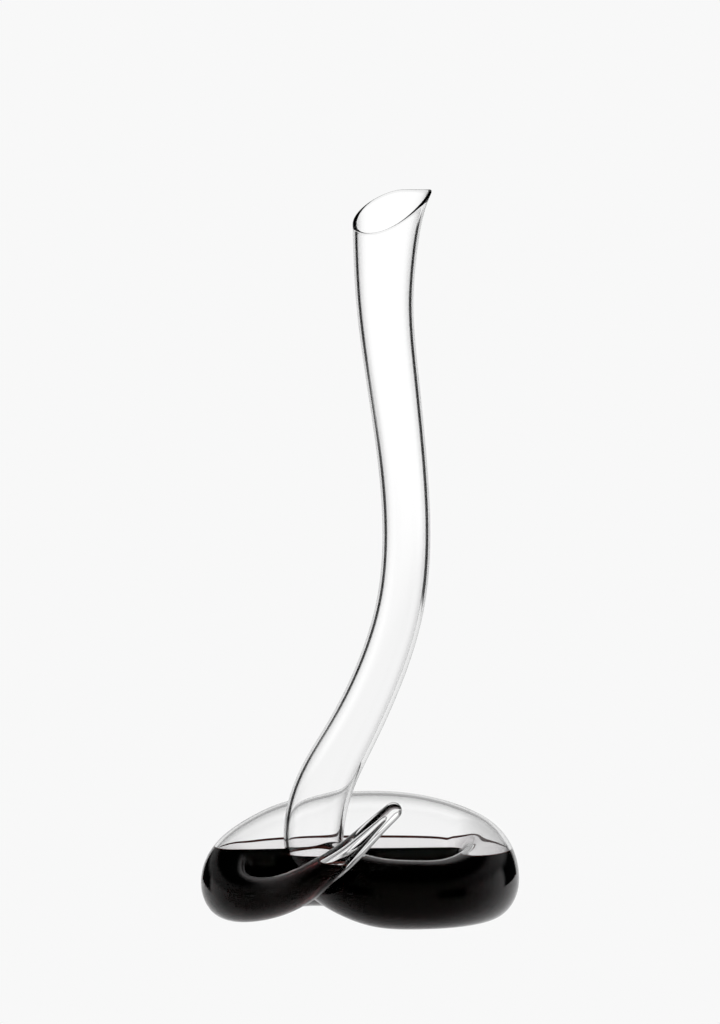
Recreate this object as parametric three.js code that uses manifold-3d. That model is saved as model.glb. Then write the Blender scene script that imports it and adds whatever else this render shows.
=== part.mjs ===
// Wine decanter, hand-blown clear glass. One long tube hangs from a slanted pouring mouth, comes down in an
// S, turns forward at its foot and runs once round a flat loop: along the front, up the right side, across
// the back where it is fattest, and round the left side. It ends in a thin tail with a solid tip that
// crosses in front of the neck's foot. The loop holds the wine and stands on the lowest line of the glass.
//
// Millimetres. +X is to the right, +Y to the back and +Z up. The origin lies on the table under the middle
// of the whole object. The glass is divided across the tube into named stretches, with a seam between them.
import * as THREE from "three";
import { mergeVertices } from "three/addons/utils/BufferGeometryUtils.js";
import Module from "manifold-3d";

const wasm = await Module();
wasm.setup();

// Overall sizes.
const totalHeight = 500;
const loopWidth = 220;
const loopFront = 76; // from the neck's plane to the front of the loop
const loopBack = 77; // from the neck's plane to the back of the loop

// Half widths of the tube, outside.
const mouthRadius = 22.6;
const neckTopRadius = 18.4;
const neckWaistRadius = 16.6;
const neckFootRadius = 20.8;
const frontRadius = 23.5;
const rightHalfWidth = 22.5;
const backHalfWidth = 36;
const leftHalfWidth = 20.5;
const tailRootRadius = 14;
const tailTipRadius = 5.6;

// Heights of the loop's top line, and of its widest line over the table.
const rightHeight = 61;
const backHeight = 83;
const leftHeight = 52;
const widestHeight = 27;
const footSink = 0.4; // how far the glass is ground away below, which leaves the flats it rests on

// Room between the windings, and the heights and bows of the neck and the tail.
const roomLeftOfNeck = 16.2;
const neckOverBelly = 3.8; // how far the neck's foot leans in over the back belly's round shoulder
const footSlant = 15.5; // how far forward the neck's foot comes at least
const frontMargin = 0.8; // the tail stays this far inside the loop's front
const crossingRoom = 3.5; // between the tail and the neck's foot, where they cross
const neckFootZ = 62;
const neckBowX = 32;
const neckBowY = 9;
const mouthX = 17.6;
const tailTipZ = 84;

// Glass, wine and mouth.
const wall = 2.8;
const tailThickening = 2.4; // how much thicker the wall gets towards the tail's tip
const tipGlass = 13; // solid glass at the end of the tail
const wineLevel = 46.6;
const wineClearance = 0.4;
const seam = 0.6;
const lipLength = 62;
const mouthSlant = 30; // how much lower the front left of the mouth is than its back right
const highSide = 0.96; // where the mouth is highest, in radians round from the right to the back
const spoutReach = 8.5;
const spoutRise = 6.5;
const spoutSpread = 0.7;

// How finely the curves are divided.
const sides = 20;
const neckStep = 17;
const loopStep = 9;

const glass = new THREE.MeshStandardMaterial({
  color: 0xe8eeee,
  roughness: 0.02,
  metalness: 0,
  transparent: true,
  opacity: 0.35,
});
const wine = new THREE.MeshStandardMaterial({ color: 0x2a0208, roughness: 0.05, metalness: 0 });

// A round section of the tube, and one with its own heights above and below its widest line.
const round = (x, y, z, radius) => ({ x, y, z, half: radius, up: radius, down: radius });
const standing = (x, y, half, top, widest = widestHeight, lift = 0) => ({
  x,
  y,
  z: widest,
  half,
  up: top - widest,
  down: widest + footSink - lift,
});

// The neck's height at a share of the way from its foot to the mouth.
const neckZ = (share) => THREE.MathUtils.lerp(neckFootZ, totalHeight, share);
const rightX = loopWidth / 2 - rightHalfWidth;
const leftX = leftHalfWidth - loopWidth / 2;
const frontY = frontRadius - loopFront;
const backY = loopBack - backHalfWidth;
const neckFootX = leftX + leftHalfWidth + roomLeftOfNeck + neckFootRadius;
const neckFootY = backY - backHalfWidth + neckOverBelly - neckFootRadius;
const crossingRadius = tailRootRadius - 2.3;
const crossingHalf = neckFootRadius + crossingRoom + crossingRadius; // knee to tail, where they cross
const kneeBySlant = neckFootY - footSlant;
const kneeByFront = frontMargin + crossingRadius + crossingHalf - loopFront;
const kneeY = Math.min(kneeBySlant, kneeByFront); // the foot turns forward here, under the tail
const crossingY = kneeY - crossingHalf;
const tailTipX = neckFootX + 59;
const tailTipY = crossingY + 11.5;

// Places along the front limb and along the back belly, as shares of the way.
const frontX = (share) => THREE.MathUtils.lerp(neckFootX, rightX - 29, share);
const bellyX = (share) => THREE.MathUtils.lerp(rightX - backY, leftX + 24, share);

// The tube's sections in order, from the mouth to the tail's tip.
const sections = [
  round(mouthX + 0.4, 0, neckZ(1), mouthRadius + 1),
  round(mouthX, 0.5, neckZ(0.93), mouthRadius),
  round(mouthX - 0.6, 3, neckZ(0.83), (mouthRadius + neckTopRadius) / 2 - 0.6),
  round(mouthX + 3.9, 6, neckZ(0.72), neckTopRadius),
  round(neckBowX - 3.5, neckBowY - 0.5, neckZ(0.59), neckWaistRadius + 0.5),
  round(neckBowX, neckBowY, neckZ(0.47), neckWaistRadius),
  round(neckBowX - 4, neckBowY - 3, neckZ(0.352), neckWaistRadius + 0.1),
  round(neckBowX - 20, neckBowY - 8.5, neckZ(0.235), neckWaistRadius + 0.4),
  round(neckFootX + 24, neckFootY + 8.5, neckZ(0.141), neckWaistRadius + 1.5),
  round(neckFootX + 8, neckFootY + 3.5, neckZ(0.071), neckFootRadius - 0.9),
  round(neckFootX + 0.5, neckFootY + 0.5, neckFootZ, neckFootRadius),
  round(neckFootX + 2, THREE.MathUtils.lerp(neckFootY, kneeY, 0.29), neckFootZ - 17, neckFootRadius - 0.5),
  round(frontX(0.133), kneeY, neckFootZ - 28, neckFootRadius - 0.2),
  round(frontX(0.298), frontY + 10.5, frontRadius + 5, frontRadius - 1.2),
  round(frontX(0.508), frontY + 2.5, frontRadius + 0.6, frontRadius),
  round(frontX(0.729), frontY, frontRadius - footSink, frontRadius),
  round(frontX(1), frontY + 6, frontRadius - footSink, frontRadius),
  standing(rightX - 9, frontY + 24, frontRadius - 0.8, rightHeight - 9, widestHeight - 2),
  standing(rightX, 0, rightHalfWidth, rightHeight),
  standing(rightX - 0.29 * backY, 0.71 * backY, (rightHalfWidth + backHalfWidth) / 2 - 3, rightHeight + 10),
  standing(bellyX(0), backY - 1, backHalfWidth - 3, backHeight - 3.5),
  standing(bellyX(0.34), backY, backHalfWidth, backHeight),
  standing(bellyX(0.7), backY - 2, backHalfWidth - 2, backHeight - 3, widestHeight, 3),
  standing(bellyX(1), backY - 14, (leftHalfWidth + backHalfWidth) / 2 + 1, backHeight - 12, widestHeight, 1),
  standing(leftX, 5, leftHalfWidth, leftHeight, widestHeight - 2),
  standing(leftX + 5.5, -20, leftHalfWidth - 3, leftHeight - 15, 19),
  round(neckFootX - 25, crossingY + 19, tailRootRadius + 7, tailRootRadius),
  round(neckFootX, crossingY, tailRootRadius + 21, crossingRadius),
  round(neckFootX + 24, crossingY - 4.5, tailTipZ - 30.5, tailTipRadius + 3.2),
  round(tailTipX - 15, tailTipY - 7, tailTipZ - 12.5, tailTipRadius + 1.2),
  round(tailTipX, tailTipY, tailTipZ, tailTipRadius),
];

// A smooth curve through values at given places, without a jump in its bending (a natural cubic spline).
function smoothThrough(places, values) {
  const n = places.length;
  const bend = new Array(n).fill(0);
  const upper = new Array(n).fill(0);
  const width = (i) => places[i + 1] - places[i];
  for (let i = 1; i < n - 1; i += 1) {
    const jump = (values[i + 1] - values[i]) / width(i) - (values[i] - values[i - 1]) / width(i - 1);
    const pivot = 2 * (width(i - 1) + width(i)) - width(i - 1) * upper[i - 1];
    upper[i] = width(i) / pivot;
    bend[i] = (6 * jump - width(i - 1) * bend[i - 1]) / pivot;
  }
  for (let i = n - 2; i > 0; i -= 1) bend[i] -= upper[i] * bend[i + 1];
  return (place) => {
    let i = 0;
    while (i < n - 2 && place > places[i + 1]) i += 1;
    const w = width(i);
    const a = (places[i + 1] - place) / w;
    const b = 1 - a;
    const curve = ((a ** 3 - a) * bend[i] + (b ** 3 - b) * bend[i + 1]) * (w * w) / 6;
    return a * values[i] + b * values[i + 1] + curve;
  };
}

// Places along the tube are lengths from the mouth, over the straight lines from section to section.
const places = [0];
sections.slice(1).forEach((section, i) => {
  const before = sections[i];
  places.push(places[i] + Math.hypot(section.x - before.x, section.y - before.y, section.z - before.z));
});
const tubeEnd = places[places.length - 1];
const size = {};
for (const key of ["x", "y", "z", "half", "up", "down"]) {
  size[key] = smoothThrough(places, sections.map((section) => section[key]));
}
const centre = (place) => new THREE.Vector3(size.x(place), size.y(place), size.z(place));

// The neck's sections are turned towards the bend at its foot, and the loop's stand upright.
const bendDirection = new THREE.Vector3(0.85, -0.53, 0);
const uprightDirection = new THREE.Vector3(0, 0, 1);
const neckFootPlace = places[10];
const frontPlace = places[14];

// The section's own axes at a place: outwards of the loop, and up.
function axesAt(place) {
  const forward = centre(place + 0.05).sub(centre(place - 0.05)).normalize();
  const turn = THREE.MathUtils.smoothstep(place, neckFootPlace, frontPlace);
  const towards = bendDirection.clone().lerp(uprightDirection, turn).normalize();
  const out = forward.clone().cross(towards).normalize();
  return { out, up: out.clone().cross(forward).normalize() };
}

// The wall's thickness at a place: even all the way, and thicker in the tail.
const wallAt = (place) => wall + tailThickening * THREE.MathUtils.smoothstep(place, places[24], places[27]);

// The tail's last stretch is rounded off like a dome: the share of its width left at a place.
function roundedEnd(place, end, length) {
  const left = THREE.MathUtils.clamp((end - place) / length, 0, 1);
  return Math.sqrt(1 - (1 - left) ** 2);
}

// The mouth's cut: how far below the top the rim lies, and how far the spout stands out, in a direction.
const rimDrop = (angle) => (mouthSlant * (1 - Math.cos(angle - highSide))) / 2;
const spoutShare = (angle) => Math.exp(-((angle / spoutSpread) ** 2));
const rimPlace = (angle) => Math.max(rimDrop(angle) - spoutRise * spoutShare(angle), 0);

// A point of the tube's surface, at a depth under the outside. Above the lip's foot the places are squeezed
// towards the slanted rim, and the spout leans out.
function surfacePoint(place, turn, depth, end) {
  const lipShare = THREE.MathUtils.clamp(1 - place / lipLength, 0, 1);
  const compass = (at) => {
    const { out, up } = axesAt(at);
    const direction = out.multiplyScalar(Math.cos(turn)).addScaledVector(up, Math.sin(turn));
    return Math.atan2(direction.y, direction.x);
  };
  const angle = lipShare > 0 ? compass(place) : 0;
  const at = lipShare > 0 ? place + rimPlace(angle) * lipShare : place;
  const { out, up } = axesAt(Math.min(at, tubeEnd - 0.1));
  const tip = roundedEnd(at, end, size.half(end) - depth * 0.5);
  const half = (size.half(at) - depth) * tip;
  const rise = ((Math.sin(turn) > 0 ? size.up(at) : size.down(at)) - depth) * tip;
  const point = centre(at);
  point.addScaledVector(out, half * Math.cos(turn)).addScaledVector(up, rise * Math.sin(turn));
  point.x += lipShare > 0 ? spoutReach * spoutShare(angle) * lipShare ** 3.5 : 0;
  return point;
}

// A ring of points round the tube.
function ring(place, depth, end = tubeEnd) {
  return Array.from({ length: sides }, (_, i) => surfacePoint(place, (2 * Math.PI * i) / sides, depth, end));
}

// The places where the tube is divided into stretches.
const cuts = [lipLength, ...[4, 7, 10, 13, 16, 18, 20, 22, 25, 27].map((section) => places[section])];

// Every place where the tube has a ring: both sides of each seam, and evenly between them.
const gridPlaces = [];
[0, ...cuts].forEach((cut, i) => {
  const from = i > 0 ? cut + seam / 2 : 0;
  const to = i < cuts.length ? cuts[i] - seam / 2 : tubeEnd - tipGlass;
  const step = from > lipLength && to < neckFootPlace ? neckStep : loopStep;
  const count = Math.round((to - from) / step);
  for (let k = 0; k <= count; k += 1) gridPlaces.push(from + ((to - from) * k) / count);
});

// The places of rings from one place to another, with both of them.
function ringPlaces(from, to) {
  const between = gridPlaces.filter((place) => place > from + 0.1 && place < to - 0.1);
  return [from, ...between, to];
}

// A closed mesh from a row of rings, each joined to the next, with a point in the middle of each end.
function closedMesh(rings) {
  const points = rings.flat();
  const triangles = [];
  const at = (r, i) => r * sides + (i % sides);
  for (let r = 0; r < rings.length - 1; r += 1) {
    for (let i = 0; i < sides; i += 1) {
      triangles.push(at(r, i), at(r + 1, i), at(r, i + 1));
      triangles.push(at(r, i + 1), at(r + 1, i), at(r + 1, i + 1));
    }
  }
  const addMiddle = (edge) => {
    const sum = edge.reduce((total, point) => total.add(point), new THREE.Vector3());
    return points.push(sum.divideScalar(edge.length)) - 1;
  };
  const last = rings.length - 1;
  const firstMiddle = addMiddle(rings[0]);
  const lastMiddle = addMiddle(rings[last]);
  for (let i = 0; i < sides; i += 1) {
    triangles.push(firstMiddle, at(0, i), at(0, i + 1));
    triangles.push(lastMiddle, at(last, i + 1), at(last, i));
  }
  const geometry = new THREE.BufferGeometry().setFromPoints(points);
  geometry.setIndex(triangles);
  return geometry;
}

// Joins and cuts.
function solidOf(geometry) {
  const bare = geometry.clone();
  bare.deleteAttribute("normal");
  bare.deleteAttribute("uv");
  const merged = mergeVertices(bare, 1e-4);
  const made = new wasm.Manifold(
    new wasm.Mesh({
      numProp: 3,
      vertProperties: merged.attributes.position.array,
      triVerts: new Uint32Array(merged.index.array),
    }),
  );
  return made;
}

function geometryOf(solid) {
  const mesh = solid.getMesh();
  const geometry = new THREE.BufferGeometry();
  geometry.setAttribute("position", new THREE.BufferAttribute(new Float32Array(mesh.vertProperties), 3));
  geometry.setIndex(new THREE.BufferAttribute(new Uint32Array(mesh.triVerts), 1));
  geometry.computeVertexNormals();
  return geometry;
}

// All that lies above or below a height, as one big block.
function blockBetween(low, high) {
  const block = new THREE.BoxGeometry(4 * loopWidth, 4 * loopWidth, high - low);
  return solidOf(block.translate(0, 0, (low + high) / 2));
}
const underTable = blockBetween(-100, 0);

const decanter = new THREE.Group();
function addPiece(name, solid, material) {
  const piece = new THREE.Mesh(geometryOf(solid), material);
  piece.name = name;
  decanter.add(piece);
}

// The tube's outside, and a filling of its hollow that stays clear of the wall.
function tubeSolid(at, depthAt, end) {
  const rings = at.map((place) => ring(place, depthAt(place), end));
  return solidOf(closedMesh(rings));
}
const outsideAt = () => 0;
const clearOfWallAt = (place) => wallAt(place) + wineClearance;
const openPast = 1;

// A stretch of the glass tube, open at both ends. Its hollow runs on past them.
function glassStretch(name, from, to) {
  const outside = tubeSolid(ringPlaces(from, to), outsideAt);
  const openFrom = from > 0 ? from - openPast : -mouthSlant;
  const hollow = tubeSolid([openFrom, ...ringPlaces(from, to), to + openPast], wallAt);
  addPiece(name, outside.subtract(hollow).subtract(underTable), glass);
}

// The last stretch, closed by the tail's solid tip.
const cavityEnd = tubeEnd - tipGlass;
function glassTail(name, from) {
  const domePlaces = [10, 5, 2.5, 1, 0.3].map((left) => tubeEnd - left);
  const outside = tubeSolid([...ringPlaces(from, cavityEnd), ...domePlaces], outsideAt);
  const hollow = tubeSolid([from - openPast, ...ringPlaces(from, cavityEnd - 0.6)], wallAt, cavityEnd);
  addPiece(name, outside.subtract(hollow).subtract(underTable), glass);
}

// The stretches of glass, each from one cut to the next.
const stretchNames = [
  "pouring_lip",
  "neck_top",
  "neck_bow",
  "neck_lower",
  "neck_foot",
  "front_limb",
  "right_bend",
  "right_belly",
  "back_belly",
  "left_bend",
  "tail_root",
];
stretchNames.forEach((name, i) => {
  glassStretch(name, i > 0 ? cuts[i - 1] + seam / 2 : 0, cuts[i] - seam / 2);
});
glassTail("tail", cuts[cuts.length - 1] + seam / 2);

// The wine fills the tube up to its level, a small clearance inside the glass.
const overLevel = blockBetween(wineLevel, totalHeight + 100);
const wineFilled = tubeSolid(ringPlaces(places[8], cavityEnd - 1), clearOfWallAt, cavityEnd);
addPiece("red_wine", wineFilled.subtract(overLevel), wine);

// The whole is set so that the origin lies under its middle.
const middle = new THREE.Box3().setFromObject(decanter).getCenter(new THREE.Vector3());
decanter.position.set(-middle.x, -middle.y, 0);

export default decanter;
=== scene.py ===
"""Wine decanter: one blown glass tube wound into a loop, with red wine in it, on a pale studio floor.

The tube's design is in millimetres, and every mesh that is made from it is in metres. A place is a distance
along the tube, from the rim of the mouth.
"""

from __future__ import annotations

import logging
import math
from dataclasses import dataclass, field
from enum import Enum, IntEnum

import bmesh
import bpy
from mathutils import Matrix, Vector

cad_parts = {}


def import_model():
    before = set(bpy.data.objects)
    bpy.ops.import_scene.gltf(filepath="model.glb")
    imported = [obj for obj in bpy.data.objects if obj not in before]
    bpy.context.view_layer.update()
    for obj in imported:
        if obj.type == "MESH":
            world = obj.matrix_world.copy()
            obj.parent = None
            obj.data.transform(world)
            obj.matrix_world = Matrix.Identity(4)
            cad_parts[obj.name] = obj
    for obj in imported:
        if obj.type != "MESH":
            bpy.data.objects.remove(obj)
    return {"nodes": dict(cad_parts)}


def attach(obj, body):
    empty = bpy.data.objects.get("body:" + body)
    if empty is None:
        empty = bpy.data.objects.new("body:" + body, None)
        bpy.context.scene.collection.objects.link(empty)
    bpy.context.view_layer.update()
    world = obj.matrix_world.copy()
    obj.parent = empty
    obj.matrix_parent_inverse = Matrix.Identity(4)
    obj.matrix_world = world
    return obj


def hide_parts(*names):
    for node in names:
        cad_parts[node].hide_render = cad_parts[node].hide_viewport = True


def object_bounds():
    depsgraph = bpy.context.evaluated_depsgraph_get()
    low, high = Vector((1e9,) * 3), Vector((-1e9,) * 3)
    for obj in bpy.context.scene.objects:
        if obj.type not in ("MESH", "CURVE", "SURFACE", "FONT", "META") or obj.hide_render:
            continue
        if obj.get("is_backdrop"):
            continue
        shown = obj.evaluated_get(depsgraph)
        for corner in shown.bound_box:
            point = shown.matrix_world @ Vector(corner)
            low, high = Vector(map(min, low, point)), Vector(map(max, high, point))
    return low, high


LOG = logging.getLogger("wine_decanter")
# Metres in a millimetre.
MM = 0.001
# How close to the wine's level a point counts as lying in it, in metres.
AT_LEVEL = 0.000002
# A swept mesh numbers its rings from here, because 0 is what an unnumbered point has.
FIRST_ROW = 1
# Rings lie closer together before a rounded end, the tail's tip and the hollow's: the steps say how far from it
# they lie, and the room says where the even ones stop. All are in millimetres.
TIP_STEPS = (0.12, 0.5, 1.1, 2.0, 3.2, 4.8, 7.0, 10.0)
TIP_ROOM = 13.5
HOLLOW_STEPS = (3.2, 1.8, 0.9, 0.35, 0.08)
HOLLOW_ROOM = 5.0
# How far before and behind a place the tube's direction is taken, in millimetres.
NEARBY = 0.05
# The way that a section of the neck is turned, which becomes straight up in the loop.
NECK_SIDE = Vector((0.85, -0.53, 0.0))
# A tone is a fixed value or the result of a node.
Tone = float | bpy.types.NodeSocket
Colour = tuple[float, float, float]


class Slot(Enum):
    """The record's material slots."""

    GLASS = "clear_glass"
    WINE = "wine"


class WineFace(IntEnum):
    """The wine's kinds of face, by their material's number."""

    BODY = 0
    SURFACE = 1
    DRAWN_UP = 2


class Stop(IntEnum):
    """The sections of the tube that something starts or ends at, by their number."""

    LOWER_NECK = 8
    NECK_FOOT = 10
    FRONT_LIMB = 14
    LEFT_BEND = 24
    CROSSING = 27


def lerp(a: float, b: float, share: float) -> float:
    """The value at a share of the way from a to b."""
    return a + (b - a) * share


def clamp(value: float, low: float = 0.0, high: float = 1.0) -> float:
    """The value, kept between low and high."""
    return min(max(value, low), high)


def sine(degrees: float) -> float:
    """The sine of an angle in degrees."""
    return math.sin(math.radians(degrees))


def smoothstep(value: float, low: float, high: float) -> float:
    """A smooth rise from 0 at low to 1 at high."""
    t = clamp((value - low) / (high - low))
    return t * t * (3 - 2 * t)


def evenly(start: float, stop: float, step: float) -> list[float]:
    """Places from start to stop, at about the given step, with both ends."""
    count = max(round(abs(stop - start) / step), 1)
    return [lerp(start, stop, i / count) for i in range(count + 1)]


@dataclass(frozen=True)
class Section:
    """One section of the tube: its middle, its half width, and its height above and below its widest line."""

    x: float
    y: float
    z: float
    half: float
    up: float
    down: float


class SmoothCurve:
    """A natural cubic spline through values at given places."""

    def __init__(self, places: list[float], values: list[float]) -> None:
        """Works out the bending at each place.

        Args:
            places: rising places along the tube.
            values: the value at each place.
        """
        count = len(places)
        self.places = places
        self.values = values
        self.bend = [0.0] * count
        upper = [0.0] * count
        for i in range(1, count - 1):
            before = places[i] - places[i - 1]
            after = places[i + 1] - places[i]
            jump = (values[i + 1] - values[i]) / after - (values[i] - values[i - 1]) / before
            pivot = 2 * (before + after) - before * upper[i - 1]
            upper[i] = after / pivot
            self.bend[i] = (6 * jump - before * self.bend[i - 1]) / pivot
        for i in range(count - 2, 0, -1):
            self.bend[i] -= upper[i] * self.bend[i + 1]

    def at(self, place: float) -> float:
        """The curve's value at a place.

        Args:
            place: the place, which may lie somewhat outside the given ones.

        Returns:
            The value.
        """
        i = 0
        while i < len(self.places) - 2 and place > self.places[i + 1]:
            i += 1
        width = self.places[i + 1] - self.places[i]
        a = (self.places[i + 1] - place) / width
        b = 1 - a
        bent = ((a**3 - a) * self.bend[i] + (b**3 - b) * self.bend[i + 1]) * width * width / 6
        return a * self.values[i] + b * self.values[i + 1] + bent


@dataclass
class TubeDesign:
    """The decanter's sizes and the run of its tube, in millimetres."""

    total_height: float = 500.0
    loop_width: float = 220.0
    loop_front: float = 76.0
    loop_back: float = 77.0
    mouth_radius: float = 22.6
    neck_top_radius: float = 18.4
    neck_waist_radius: float = 16.6
    neck_foot_radius: float = 20.8
    front_radius: float = 23.5
    right_half: float = 22.5
    back_half: float = 36.0
    left_half: float = 20.5
    tail_root_radius: float = 14.0
    tail_tip_radius: float = 5.6
    right_height: float = 61.0
    back_height: float = 83.0
    left_height: float = 52.0
    widest_height: float = 27.0
    foot_sink: float = 0.4
    room_left_of_neck: float = 16.2
    neck_over_belly: float = 3.8
    foot_slant: float = 15.5
    front_margin: float = 0.8
    crossing_room: float = 3.5
    crossing_slimmer: float = 2.3
    tail_reach: float = 59.0
    tail_tip_back: float = 11.5
    neck_foot_z: float = 62.0
    neck_bow_x: float = 32.0
    neck_bow_y: float = 9.0
    mouth_x: float = 17.6
    tail_tip_z: float = 84.0
    wall: float = 2.8
    tail_thickening: float = 2.4
    tip_glass: float = 13.0
    wine_level: float = 46.6
    lip_length: float = 62.0
    mouth_slant: float = 30.0
    high_side: float = 0.96
    spout_reach: float = 8.5
    spout_rise: float = 6.5
    spout_spread: float = 0.7
    spout_curl: float = 3.5
    places: list[float] = field(init=False)
    curves: dict[str, SmoothCurve] = field(init=False)

    def __post_init__(self) -> None:
        """Lays the smooth curves through the sections."""
        sections = self.sections()
        self.places = [0.0]
        for before, after in zip(sections, sections[1:]):
            step = Vector((after.x - before.x, after.y - before.y, after.z - before.z)).length
            self.places.append(self.places[-1] + step)
        self.curves = {
            name: SmoothCurve(self.places, [getattr(section, name) for section in sections])
            for name in ("x", "y", "z", "half", "up", "down")
        }

    @property
    def tube_end(self) -> float:
        """The place of the tail's tip."""
        return self.places[-1]

    @property
    def cavity_end(self) -> float:
        """The place where the hollow ends, before the tail's solid tip."""
        return self.tube_end - self.tip_glass

    def wall_at(self, place: float) -> float:
        """The wall's thickness at a place: even all the way, and thicker in the tail."""
        share = smoothstep(place, self.places[Stop.LEFT_BEND], self.places[Stop.CROSSING])
        return self.wall + self.tail_thickening * share

    def to_hollow_end(self, start: float, step: float) -> list[float]:
        """Places from start to the end of the hollow, closer together where it is rounded."""
        places = evenly(start, self.cavity_end - HOLLOW_ROOM, step)
        return places + [self.cavity_end - left for left in HOLLOW_STEPS]

    def neck_z(self, share: float) -> float:
        """The neck's height at a share of the way from its foot to the mouth."""
        return lerp(self.neck_foot_z, self.total_height, share)

    def standing(
        self, x: float, y: float, half: float, top: float, widest: float | None = None, lift: float = 0.0
    ) -> Section:
        """A section that stands on the table, with its own heights above and below its widest line."""
        level = self.widest_height if widest is None else widest
        return Section(x, y, level, half, top - level, level + self.foot_sink - lift)

    def sections(self) -> list[Section]:
        """The tube's sections in order.

        Returns:
            The sections from the mouth to the tail's tip.
        """

        def ring(x: float, y: float, z: float, radius: float) -> Section:
            """A round section."""
            return Section(x, y, z, radius, radius, radius)

        right_x = self.loop_width / 2 - self.right_half
        left_x = self.left_half - self.loop_width / 2
        front_y = self.front_radius - self.loop_front
        back_y = self.loop_back - self.back_half
        foot_x = left_x + self.left_half + self.room_left_of_neck + self.neck_foot_radius
        foot_y = back_y - self.back_half + self.neck_over_belly - self.neck_foot_radius
        crossing_radius = self.tail_root_radius - self.crossing_slimmer
        crossing_half = self.neck_foot_radius + self.crossing_room + crossing_radius
        knee_by_front = self.front_margin + crossing_radius + crossing_half - self.loop_front
        knee_y = min(foot_y - self.foot_slant, knee_by_front)
        crossing_y = knee_y - crossing_half
        tip_x = foot_x + self.tail_reach
        tip_y = crossing_y + self.tail_tip_back
        bow_x, bow_y, foot_z = self.neck_bow_x, self.neck_bow_y, self.neck_foot_z
        top, waist, foot = self.neck_top_radius, self.neck_waist_radius, self.neck_foot_radius
        front, tail = self.front_radius, self.tail_root_radius
        tip, tip_z = self.tail_tip_radius, self.tail_tip_z
        widest, back_half, left_half = self.widest_height, self.back_half, self.left_half

        def front_x(share: float) -> float:
            """A place along the front limb."""
            return lerp(foot_x, right_x - 29, share)

        def belly_x(share: float) -> float:
            """A place along the back belly."""
            return lerp(right_x - back_y, left_x + 24, share)

        neck = [
            ring(self.mouth_x + 0.4, 0, self.neck_z(1), self.mouth_radius + 1),
            ring(self.mouth_x, 0.5, self.neck_z(0.93), self.mouth_radius),
            ring(self.mouth_x - 0.6, 3, self.neck_z(0.83), (self.mouth_radius + top) / 2 - 0.6),
            ring(self.mouth_x + 3.9, 6, self.neck_z(0.72), top),
            ring(bow_x - 3.5, bow_y - 0.5, self.neck_z(0.59), waist + 0.5),
            ring(bow_x, bow_y, self.neck_z(0.47), waist),
            ring(bow_x - 4, bow_y - 3, self.neck_z(0.352), waist + 0.1),
            ring(bow_x - 20, bow_y - 8.5, self.neck_z(0.235), waist + 0.4),
            ring(foot_x + 24, foot_y + 8.5, self.neck_z(0.141), waist + 1.5),
            ring(foot_x + 8, foot_y + 3.5, self.neck_z(0.071), foot - 0.9),
            ring(foot_x + 0.5, foot_y + 0.5, foot_z, foot),
        ]
        front_run = [
            ring(foot_x + 2, lerp(foot_y, knee_y, 0.29), foot_z - 17, foot - 0.5),
            ring(front_x(0.133), knee_y, foot_z - 28, foot - 0.2),
            ring(front_x(0.298), front_y + 10.5, front + 5, front - 1.2),
            ring(front_x(0.508), front_y + 2.5, front + 0.6, front),
            ring(front_x(0.729), front_y, front - self.foot_sink, front),
            ring(front_x(1), front_y + 6, front - self.foot_sink, front),
        ]
        loop = [
            self.standing(right_x - 9, front_y + 24, front - 0.8, self.right_height - 9, widest - 2),
            self.standing(right_x, 0, self.right_half, self.right_height),
            self.standing(
                right_x - 0.29 * back_y,
                0.71 * back_y,
                (self.right_half + back_half) / 2 - 3,
                self.right_height + 10,
            ),
            self.standing(belly_x(0), back_y - 1, back_half - 3, self.back_height - 3.5),
            self.standing(belly_x(0.34), back_y, back_half, self.back_height),
            self.standing(belly_x(0.7), back_y - 2, back_half - 2, self.back_height - 3, widest, 3),
            self.standing(
                belly_x(1), back_y - 14, (left_half + back_half) / 2 + 1, self.back_height - 12, widest, 1
            ),
            self.standing(left_x, 5, left_half, self.left_height, widest - 2),
            self.standing(left_x + 5.5, -20, left_half - 3, self.left_height - 15, 19),
        ]
        tail_run = [
            ring(foot_x - 25, crossing_y + 19, tail + 7, tail),
            ring(foot_x, crossing_y, tail + 21, crossing_radius),
            ring(foot_x + 24, crossing_y - 4.5, tip_z - 30.5, tip + 3.2),
            ring(tip_x - 15, tip_y - 7, tip_z - 12.5, tip + 1.2),
            ring(tip_x, tip_y, tip_z, tip),
        ]
        return neck + front_run + loop + tail_run

    def centre(self, place: float) -> Vector:
        """The middle of the tube at a place."""
        return Vector((self.curves["x"].at(place), self.curves["y"].at(place), self.curves["z"].at(place)))

    def axes_at(self, place: float) -> tuple[Vector, Vector]:
        """The section's own axes.

        Args:
            place: the place along the tube.

        Returns:
            The direction out of the loop, and the direction up.
        """
        forward = (self.centre(place + NEARBY) - self.centre(place - NEARBY)).normalized()
        turn = smoothstep(place, self.places[Stop.NECK_FOOT], self.places[Stop.FRONT_LIMB])
        towards = NECK_SIDE.lerp(Vector((0, 0, 1)), turn).normalized()
        out = forward.cross(towards).normalized()
        return out, out.cross(forward).normalized()

    def spout_share(self, angle: float) -> float:
        """How much of the spout there is in a direction round the mouth."""
        return math.exp(-((angle / self.spout_spread) ** 2))

    def rim_place(self, angle: float) -> float:
        """How far below the top the rim lies in a direction."""
        drop = self.mouth_slant * (1 - math.cos(angle - self.high_side)) / 2
        return max(drop - self.spout_rise * self.spout_share(angle), 0.0)

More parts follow.
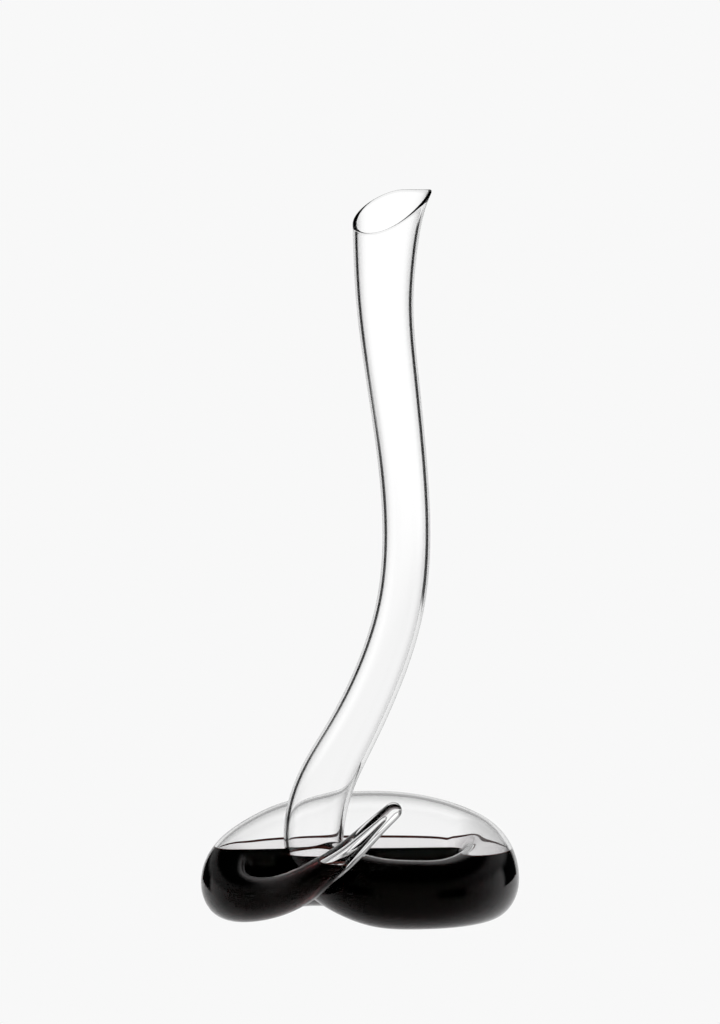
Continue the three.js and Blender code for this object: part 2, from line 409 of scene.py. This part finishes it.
    def surface_point(self, place: float, turn: float, depth: float, end: float) -> Vector:
        """A point of the tube.

        Args:
            place: the place along the tube, from the rim.
            turn: the angle round the section.
            depth: the depth under the outside.
            end: the place where this surface closes.

        Returns:
            The point, in millimetres.
        """
        lip = clamp(1 - place / self.lip_length)
        angle = 0.0
        at = place
        if lip > 0:
            out, up = self.axes_at(place)
            direction = out * math.cos(turn) + up * math.sin(turn)
            angle = math.atan2(direction.y, direction.x)
            at = place + self.rim_place(angle) * lip
        out, up = self.axes_at(min(at, self.tube_end - 0.1))
        dome = clamp((end - at) / (self.curves["half"].at(end) - depth * 0.5))
        tip = math.sqrt(1 - (1 - dome) ** 2)
        side = "up" if math.sin(turn) > 0 else "down"
        half = (self.curves["half"].at(at) - depth) * tip
        rise = (self.curves[side].at(at) - depth) * tip
        point = self.centre(at) + out * half * math.cos(turn) + up * rise * math.sin(turn)
        if lip > 0:
            point.x += self.spout_reach * self.spout_share(angle) * lip**self.spout_curl
        return point


@dataclass(frozen=True)
class Ring:
    """A ring of the swept mesh: its place, its depth under the outside, and where its surface closes."""

    place: float
    depth: float
    end: float


def deselect_all() -> None:
    """Leaves no object selected."""
    bpy.ops.object.select_all(action="DESELECT")


def close_in_point() -> None:
    """Closes the selected ring with a cone of faces to its middle."""
    bpy.ops.mesh.extrude_region_move()
    bpy.ops.mesh.merge(type="CENTER")


def sweep(name: str, design: TubeDesign, rings: list[Ring], sides: int) -> bpy.types.Object:
    """Extrudes a circle ring by ring along the tube, and closes both ends in a point.

    Args:
        name: the piece's name.
        design: the tube it follows.
        rings: the rings, in order.
        sides: how many points a ring has.

    Returns:
        The closed piece.
    """
    deselect_all()
    bpy.ops.mesh.primitive_circle_add(vertices=sides, radius=design.front_radius * MM, location=(0, 0, 0))
    piece = bpy.context.object
    piece.name = name
    bpy.ops.object.mode_set(mode="EDIT")
    bpy.ops.mesh.select_all(action="SELECT")
    mesh = bmesh.from_edit_mesh(piece.data)
    mesh.verts.layers.int.new("row")
    side_of = mesh.verts.layers.int.new("side")
    mesh.verts.ensure_lookup_table()
    for i, vert in enumerate(mesh.verts):
        vert[side_of] = i
    for number, ring in enumerate(rings):
        if number > 0:
            bpy.ops.mesh.extrude_region_move()
            mesh = bmesh.from_edit_mesh(piece.data)
        side_of = mesh.verts.layers.int["side"]
        row_of = mesh.verts.layers.int["row"]
        for vert in mesh.verts:
            if vert.select:
                vert[row_of] = FIRST_ROW + number
                turn = 2 * math.pi * vert[side_of] / sides
                vert.co = design.surface_point(ring.place, turn, ring.depth, ring.end) * MM
    bmesh.update_edit_mesh(piece.data)
    close_in_point()
    bpy.ops.mesh.select_all(action="DESELECT")
    mesh = bmesh.from_edit_mesh(piece.data)
    row_of = mesh.verts.layers.int["row"]
    for vert in mesh.verts:
        vert.select_set(vert[row_of] == FIRST_ROW)
    mesh.select_flush(True)
    bmesh.update_edit_mesh(piece.data)
    close_in_point()
    bpy.ops.mesh.select_all(action="SELECT")
    bpy.ops.mesh.normals_make_consistent(inside=False)
    bpy.ops.object.mode_set(mode="OBJECT")
    bpy.ops.object.shade_smooth()
    return piece


def grey(tone: float) -> Colour:
    """An even grey."""
    return (tone, tone, tone)


def new_material(name: str) -> tuple[bpy.types.Material, bpy.types.ShaderNode]:
    """Makes a material.

    Args:
        name: its name.

    Returns:
        The material, and its surface shader.
    """
    material = bpy.data.materials.new(name)
    material.use_nodes = True
    return material, material.node_tree.nodes["Principled BSDF"]


def clouds(tree: bpy.types.NodeTree, size: float, detail: float) -> bpy.types.NodeSocket:
    """Adds soft noise that stays in place on the piece.

    Args:
        tree: the material's nodes.
        size: how many clouds there are to a metre, about.
        detail: how finely they are broken up.

    Returns:
        The noise, from 0 to 1.
    """
    place = tree.nodes.new("ShaderNodeTexCoord")
    noise = tree.nodes.new("ShaderNodeTexNoise")
    noise.inputs["Scale"].default_value = size
    noise.inputs["Detail"].default_value = detail
    tree.links.new(place.outputs["Object"], noise.inputs["Vector"])
    return noise.outputs["Fac"]


def slant(tree: bpy.types.NodeTree) -> bpy.types.NodeSocket:
    """Adds how slantingly the surface is seen: 0 where it is faced, and 1 where it is seen edge on.

    Args:
        tree: the material's nodes.

    Returns:
        The slant.
    """
    facing = tree.nodes.new("ShaderNodeLayerWeight")
    facing.inputs["Blend"].default_value = 0.5
    return facing.outputs["Facing"]


def tint(
    tree: bpy.types.NodeTree, value: bpy.types.NodeSocket, low: tuple[float, Colour], high: tuple[float, Colour]
) -> bpy.types.ColorRamp:
    """Colours the surface by a value.

    Args:
        tree: the material's nodes.
        value: the value that the colour follows.
        low: the lowest value of the blend, and its colour.
        high: the highest value of the blend, and its colour.

    Returns:
        The colour ramp, which may be given more stops.
    """
    tone = tree.nodes.new("ShaderNodeValToRGB")
    for stop, (at, colour) in zip(tone.color_ramp.elements, (low, high)):
        stop.position = at
        stop.color = (*colour, 1)
    tree.links.new(value, tone.inputs["Fac"])
    tree.links.new(tone.outputs["Color"], tree.nodes["Principled BSDF"].inputs["Base Color"])
    return tone.color_ramp


@dataclass(frozen=True)
class ClearGlass:
    """Fire-polished clear glass: colourless where it is looked through, with painted shade that darkens it
    where it is seen edge on.
    """

    ior: float = 1.5
    roughness: float = 0.0
    wave_size: float = 9.0
    wave_detail: float = 1.0
    wave_depth: float = 0.00006
    # From clear_to on: the stops of the painted edge shade, grey and then near black as the glass is seen more
    # edge on.
    clear_to: float = 0.22
    painted_half_shade_at: float = 0.70
    painted_half_shade_tone: float = 0.64
    painted_edge_shade_at: float = 0.93
    painted_edge_shade_tone: float = 0.04
    shine: float = 0.06

    def build(self) -> bpy.types.Material:
        """Makes the material.

        Returns:
            The glass.
        """
        material, shader = new_material("fire_polished_glass")
        tree = material.node_tree
        shader.inputs["Roughness"].default_value = self.roughness
        shader.inputs["IOR"].default_value = self.ior
        shader.inputs["Transmission Weight"].default_value = 1.0
        shader.inputs["Specular Tint"].default_value = (*grey(self.shine), 1)
        bump = tree.nodes.new("ShaderNodeBump")
        bump.inputs["Strength"].default_value = 1.0
        bump.inputs["Distance"].default_value = self.wave_depth
        tree.links.new(clouds(tree, self.wave_size, self.wave_detail), bump.inputs["Height"])
        tree.links.new(bump.outputs["Normal"], shader.inputs["Normal"])
        # Painted shade: the glass's tint is white where it is faced, and grey then near black where it is seen
        # edge on, in place of dark outlines from refraction.
        painted_edge_shade = (self.painted_edge_shade_at, grey(self.painted_edge_shade_tone))
        ramp = tint(tree, slant(tree), (self.clear_to, grey(1.0)), painted_edge_shade)
        ramp.elements.new(self.painted_half_shade_at).color = (*grey(self.painted_half_shade_tone), 1)
        return material


@dataclass(frozen=True)
class RedWine:
    """Red wine: nearly black in depth, purple red where it is thin."""

    ior: float = 1.345
    roughness: float = 0.0
    cloud_size: float = 30.0
    cloud_detail: float = 2.0
    dull_colour: Colour = (0.84, 0.60, 0.60)
    bright_colour: Colour = (0.90, 0.68, 0.68)
    thin_colour: Colour = (0.62, 0.05, 0.06)
    density: float = 3000.0
    shine: float = 0.03

    def build(self) -> bpy.types.Material:
        """Makes the material.

        Returns:
            The wine.
        """
        material, shader = new_material("still_red_wine")
        tree = material.node_tree
        shader.inputs["Roughness"].default_value = self.roughness
        shader.inputs["IOR"].default_value = self.ior
        shader.inputs["Transmission Weight"].default_value = 1.0
        shader.inputs["Specular Tint"].default_value = (*grey(self.shine), 1)
        cloud = clouds(tree, self.cloud_size, self.cloud_detail)
        tint(tree, cloud, (0.0, self.dull_colour), (1.0, self.bright_colour))
        depth = tree.nodes.new("ShaderNodeVolumeAbsorption")
        depth.inputs["Color"].default_value = (*self.thin_colour, 1)
        depth.inputs["Density"].default_value = self.density
        tree.links.new(depth.outputs["Volume"], tree.nodes["Material Output"].inputs["Volume"])
        return material


@dataclass(frozen=True)
class StillSurface:
    """The wine's level surface: it mirrors the pale room at a low angle, and is dark wine from above."""

    mirror_tone: Colour = (0.52, 0.49, 0.50)
    deep_tone: Colour = (0.012, 0.001, 0.002)
    mirror_from: float = 0.55
    mirror_full: float = 0.80
    roughness: float = 0.02

    def build(self) -> bpy.types.Material:
        """Makes the material.

        Returns:
            The surface.
        """
        material, shader = new_material("still_wine_surface")
        tree = material.node_tree
        shader.inputs["Metallic"].default_value = 1.0
        shader.inputs["Roughness"].default_value = self.roughness
        deep = (self.mirror_from, self.deep_tone)
        tint(tree, slant(tree), deep, (self.mirror_full, self.mirror_tone))
        return material


@dataclass(frozen=True)
class DrawnUpEdge:
    """The thin edge of wine that climbs the glass: red brown, because real wine lets light through there."""

    colour: Colour = (0.34, 0.10, 0.075)
    roughness: float = 0.4
    shine: float = 0.1

    def build(self) -> bpy.types.Material:
        """Makes the material.

        Returns:
            The edge.
        """
        material, shader = new_material("drawn_up_wine_edge")
        shader.inputs["Base Color"].default_value = (*self.colour, 1)
        shader.inputs["Roughness"].default_value = self.roughness
        shader.inputs["Specular IOR Level"].default_value = self.shine
        return material


@dataclass
class GlassBody:
    """The whole glass tube: outside, rounded rim, inside, and the tail's solid tip."""

    design: TubeDesign
    finish: ClearGlass = ClearGlass()
    sides: int = 32
    neck_step: float = 8.0
    loop_step: float = 5.5
    lip_step: float = 4.0
    rim_turns: int = 5

    def rings(self) -> list[Ring]:
        """Lays out the rings.

        Returns:
            The rings from the tail's tip up the outside, over the rim, and back down the inside.
        """
        design = self.design
        rim = design.wall / 2
        end = design.tube_end
        foot = design.places[Stop.NECK_FOOT]
        along = evenly(rim, design.lip_length, self.lip_step)
        along += evenly(design.lip_length, foot, self.neck_step)[1:]
        loop = evenly(foot, end - TIP_ROOM, self.loop_step)[1:]
        outside = [Ring(end - left, 0, end) for left in TIP_STEPS]
        outside += [Ring(place, 0, end) for place in reversed(along + loop)]
        turns = [math.pi * i / self.rim_turns for i in range(1, self.rim_turns)]
        lip = [Ring(rim * (1 - math.sin(turn)), rim * (1 - math.cos(turn)), end) for turn in turns]
        inner = along + design.to_hollow_end(foot, self.loop_step)[1:]
        return outside + lip + [Ring(place, design.wall_at(place), design.cavity_end) for place in inner]

    def build(self) -> bpy.types.Object:
        """Makes the glass, levels it where smoothing sank it into the table, and dresses it.

        Returns:
            The glass.
        """
        piece = sweep("glass_body", self.design, self.rings(), self.sides)
        smooth = piece.modifiers.new("fire_polish", "SUBSURF")
        smooth.levels = 1
        smooth.render_levels = 1
        bpy.ops.object.modifier_apply(modifier=smooth.name)
        for vert in piece.data.vertices:
            vert.co.z = max(vert.co.z, 0.0)
        piece.data.materials.append(self.finish.build())
        return piece


@dataclass
class WineFill:
    """The wine in the loop, with the edge of its surface drawn up where there is glass behind it."""

    design: TubeDesign
    finish: RedWine = RedWine()
    surface: StillSurface = StillSurface()
    edge: DrawnUpEdge = DrawnUpEdge()
    sides: int = 64
    step: float = 3.0
    into_wall: float = 0.3
    edge_width: float = 0.7
    edge_rise: float = 0.9
    edge_from: float = 0.3
    edge_full: float = 0.8

    @property
    def level(self) -> float:
        """The height of the wine's surface, in metres."""
        return self.design.wine_level * MM

    def is_level(self, face: bmesh.types.BMFace) -> bool:
        """Whether a face lies in the wine's surface."""
        return all(abs(vert.co.z - self.level) < AT_LEVEL for vert in face.verts)

    def cut_level(self, piece: bpy.types.Object) -> None:
        """Takes off what is above the level, and insets the surface that is left.

        Args:
            piece: the wine, in edit mode.
        """
        bpy.ops.mesh.select_all(action="SELECT")
        bpy.ops.mesh.bisect(
            plane_co=(0, 0, self.level), plane_no=(0, 0, 1), use_fill=True, clear_outer=True, threshold=AT_LEVEL
        )
        bpy.ops.mesh.select_all(action="DESELECT")
        mesh = bmesh.from_edit_mesh(piece.data)
        for face in mesh.faces:
            if self.is_level(face):
                face.select_set(True)
        bmesh.update_edit_mesh(piece.data)
        bpy.ops.mesh.inset(thickness=self.edge_width * MM)

    def draw_up(self, piece: bpy.types.Object) -> None:
        """Raises the surface's edge: fully where it faces the back, and not at all at the front.

        Args:
            piece: the wine, in edit mode, with its surface selected inside the edge.
        """
        mesh = bmesh.from_edit_mesh(piece.data)
        drawn_up = []
        for face in mesh.faces:
            face.material_index = WineFace.SURFACE if face.select else WineFace.BODY
            face.smooth = not face.select
            if not face.select and self.is_level(face):
                face.material_index = WineFace.DRAWN_UP
                drawn_up.append(face)
        for vert in {vert for face in drawn_up for vert in face.verts if not vert.select}:
            inner = next(line.other_vert(vert) for line in vert.link_edges if line.other_vert(vert).select)
            to_back = (1 + (vert.co - inner.co).normalized().y) / 2
            vert.co.z += self.edge_rise * MM * smoothstep(to_back, self.edge_from, self.edge_full)
        bmesh.update_edit_mesh(piece.data)

    def build(self) -> bpy.types.Object:
        """Makes the wine and dresses it.

        Returns:
            The wine.
        """
        design = self.design
        places = design.to_hollow_end(design.places[Stop.LOWER_NECK], self.step)
        rings = [Ring(place, design.wall_at(place) - self.into_wall, design.cavity_end) for place in places]
        piece = sweep("red_wine_fill", design, rings, self.sides)
        bpy.ops.object.mode_set(mode="EDIT")
        self.cut_level(piece)
        self.draw_up(piece)
        bpy.ops.object.mode_set(mode="OBJECT")
        finishes = {
            WineFace.BODY: self.finish,
            WineFace.SURFACE: self.surface,
            WineFace.DRAWN_UP: self.edge,
        }
        for kind in WineFace:
            piece.data.materials.append(finishes[kind].build())
        return piece


class ToneNodes:
    """Adds the nodes that work out a tone."""

    def __init__(self, tree: bpy.types.NodeTree) -> None:
        """Takes the nodes that it adds to."""
        self.nodes = tree.nodes
        self.links = tree.links

    def maths(self, operation: str, *values: Tone) -> bpy.types.NodeSocket:
        """Adds a maths node.

        Args:
            operation: what it does.
            values: what it does it to.

        Returns:
            Its result.
        """
        node = self.nodes.new("ShaderNodeMath")
        node.operation = operation
        for slot, value in zip(node.inputs, values):
            if isinstance(value, bpy.types.NodeSocket):
                self.links.new(value, slot)
            else:
                slot.default_value = value
        return node.outputs["Value"]

    def fade(self, value: bpy.types.NodeSocket, none_at: float, full_at: float) -> bpy.types.NodeSocket:
        """Adds a smooth step.

        Args:
            value: the value it follows.
            none_at: where the step is still 0.
            full_at: where it has reached 1, which may be the lower of the two.

        Returns:
            The step.
        """
        node = self.nodes.new("ShaderNodeMapRange")
        node.interpolation_type = "SMOOTHSTEP"
        node.inputs["From Min"].default_value = none_at
        node.inputs["From Max"].default_value = full_at
        self.links.new(value, node.inputs["Value"])
        return node.outputs["Result"]

    def blend(self, share: bpy.types.NodeSocket, none: Tone, full: Tone) -> bpy.types.NodeSocket:
        """Adds a blend of two tones: the first where the share is 0, and the second where it is 1."""
        rest = self.maths("SUBTRACT", 1.0, share)
        return self.maths("ADD", self.maths("MULTIPLY", share, full), self.maths("MULTIPLY", rest, none))


@dataclass(frozen=True)
class PaleRoom:
    """The room: evenly pale to the camera, with soft boxes, gaps and a dark top for glass and wine.

    Its angles are in degrees. Those of a box and a gap count round the room from the middle of a box, and the
    others count up from level.
    """

    pale: float = 0.939
    box_tone: float = 1.02
    low_tone: float = 0.91
    gap_tone: float = 0.01
    top_tone: float = 0.45
    boxes: int = 4
    box_to: float = 24.0
    gap_from: float = 32.0
    ground_to: float = -10.5
    sides_from: float = -8.2
    low_to: float = -5.0
    bright_from: float = -2.5
    bright_to: float = 14.0
    top_from: float = 26.0
    top_to: float = 40.0
    black_from: float = 54.0

    def tone(self, tree: bpy.types.NodeTree) -> bpy.types.NodeSocket:
        """Adds what glass and wine see.

        Args:
            tree: the world's nodes.

        Returns:
            The tone in each direction.
        """
        tones = ToneNodes(tree)
        direction = tree.nodes.new("ShaderNodeTexCoord")
        split = tree.nodes.new("ShaderNodeSeparateXYZ")
        tree.links.new(direction.outputs["Generated"], split.inputs["Vector"])

        def by_height(none_at: float, full_at: float) -> bpy.types.NodeSocket:
            """A smooth step between two angles above level."""
            return tones.fade(split.outputs["Z"], sine(none_at), sine(full_at))

        def across(angle: float) -> float:
            """How near an angle is to the middle of a box: 1 at it, and -1 in the middle of a gap."""
            return math.cos(math.radians(self.boxes * angle))

        azimuth = tones.maths("ARCTAN2", split.outputs["Y"], split.outputs["X"])
        nearness = tones.maths("COSINE", tones.maths("MULTIPLY", azimuth, float(self.boxes)))
        in_box = tones.fade(nearness, across(self.gap_from), across(self.box_to))
        box = tones.blend(by_height(self.low_to, self.bright_from), self.low_tone, self.box_tone)
        sides = tones.blend(in_box, self.gap_tone, box)
        top = tones.blend(by_height(self.black_from, self.top_to), self.gap_tone, self.top_tone)
        above_ground = tones.blend(by_height(self.top_from, self.bright_to), top, sides)
        return tones.blend(by_height(self.sides_from, self.ground_to), above_ground, self.low_tone)

    def build(self) -> bpy.types.World:
        """Makes the room.

        Returns:
            The world.
        """
        world = bpy.data.worlds.new("pale_studio")
        world.use_nodes = True
        tree = world.node_tree
        pale = tree.nodes["Background"]
        pale.inputs["Color"].default_value = (*grey(self.pale), 1)
        boxes = tree.nodes.new("ShaderNodeBackground")
        boxes.inputs["Color"].default_value = (1, 1, 1, 1)
        tree.links.new(self.tone(tree), boxes.inputs["Strength"])
        ray = tree.nodes.new("ShaderNodeLightPath")
        seen = tree.nodes.new("ShaderNodeMixShader")
        tree.links.new(ray.outputs["Is Camera Ray"], seen.inputs["Fac"])
        tree.links.new(boxes.outputs["Background"], seen.inputs[1])
        tree.links.new(pale.outputs["Background"], seen.inputs[2])
        tree.links.new(seen.outputs["Shader"], tree.nodes["World Output"].inputs["Surface"])
        return world


@dataclass
class Studio:
    """The camera, the pale floor and the room round them. Its lengths are in metres, its angles in degrees."""

    room: PaleRoom = PaleRoom()
    distance: float = 3.0
    elevation: float = 8.0
    aim_height: float = 0.025
    tilt: float = 3.1425
    lens: float = 101.9
    film_height: float = 24.0
    far_end: float = 100.0
    floor_size: float = 0.8
    floor_sink: float = 0.0005

    def set_camera(self) -> None:
        """Puts the camera in place."""
        data = bpy.data.cameras.new("studio_camera")
        data.sensor_fit = "VERTICAL"
        data.sensor_height = self.film_height
        data.lens = self.lens
        data.clip_end = self.far_end
        camera = bpy.data.objects.new("studio_camera", data)
        bpy.context.scene.collection.objects.link(camera)
        rise = math.radians(self.elevation)
        away = self.distance
        camera.location = (0, -away * math.cos(rise), self.aim_height + away * math.sin(rise))
        camera.rotation_euler = (math.radians(90 - self.tilt), 0, 0)
        bpy.context.scene.camera = camera

    def glow(self, name: str, tone: float) -> bpy.types.Material:
        """Makes a material that shines evenly.

        Args:
            name: its name.
            tone: the grey that it shines in.

        Returns:
            The material.
        """
        material, shader = new_material(name)
        shader.inputs["Base Color"].default_value = (*grey(0.0), 1)
        shader.inputs["Specular IOR Level"].default_value = 0.0
        shader.inputs["Emission Color"].default_value = (*grey(tone), 1)
        shader.inputs["Emission Strength"].default_value = 1.0
        return material

    def build(self) -> None:
        """Makes the room and the floor."""
        scene = bpy.context.scene
        scene.view_settings.view_transform = "Standard"
        scene.world = self.room.build()
        deselect_all()
        bpy.ops.mesh.primitive_plane_add(size=self.floor_size, location=(0, 0, -self.floor_sink))
        floor = bpy.context.object
        floor.name = "studio_floor"
        floor.data.materials.append(self.glow("pale_floor", self.room.pale))
        floor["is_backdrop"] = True


def centre_on(pieces: list[bpy.types.Object], leader: bpy.types.Object, middle: Vector) -> None:
    """Moves the pieces' meshes so that the leader's box is centred over a point of the table.

    Args:
        pieces: the pieces to move.
        leader: the piece whose box is centred.
        middle: the point.
    """
    xs = [vert.co.x for vert in leader.data.vertices]
    ys = [vert.co.y for vert in leader.data.vertices]
    shift = Vector((middle.x - (min(xs) + max(xs)) / 2, middle.y - (min(ys) + max(ys)) / 2, 0))
    for piece in pieces:
        for vert in piece.data.vertices:
            vert.co += shift


def main() -> None:
    """Builds the scene."""
    logging.basicConfig(level=logging.INFO)
    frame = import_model()
    cad_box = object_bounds()
    studio = Studio()
    studio.set_camera()
    design = TubeDesign()
    glass = GlassBody(design).build()
    wine = WineFill(design).build()
    low_corner, high_corner = (Vector(corner) for corner in cad_box)
    centre_on([glass, wine], glass, (low_corner + high_corner) / 2)
    glass_nodes = [name for name in frame["nodes"] if name != "red_wine"]
    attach(glass, "root")
    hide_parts(*glass_nodes)
    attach(wine, "root")
    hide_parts("red_wine")
    for piece in (glass, wine):
        LOG.info("%s: %d faces", piece.name, len(piece.data.polygons))
    studio.build()


if __name__ == "__main__":
    main()
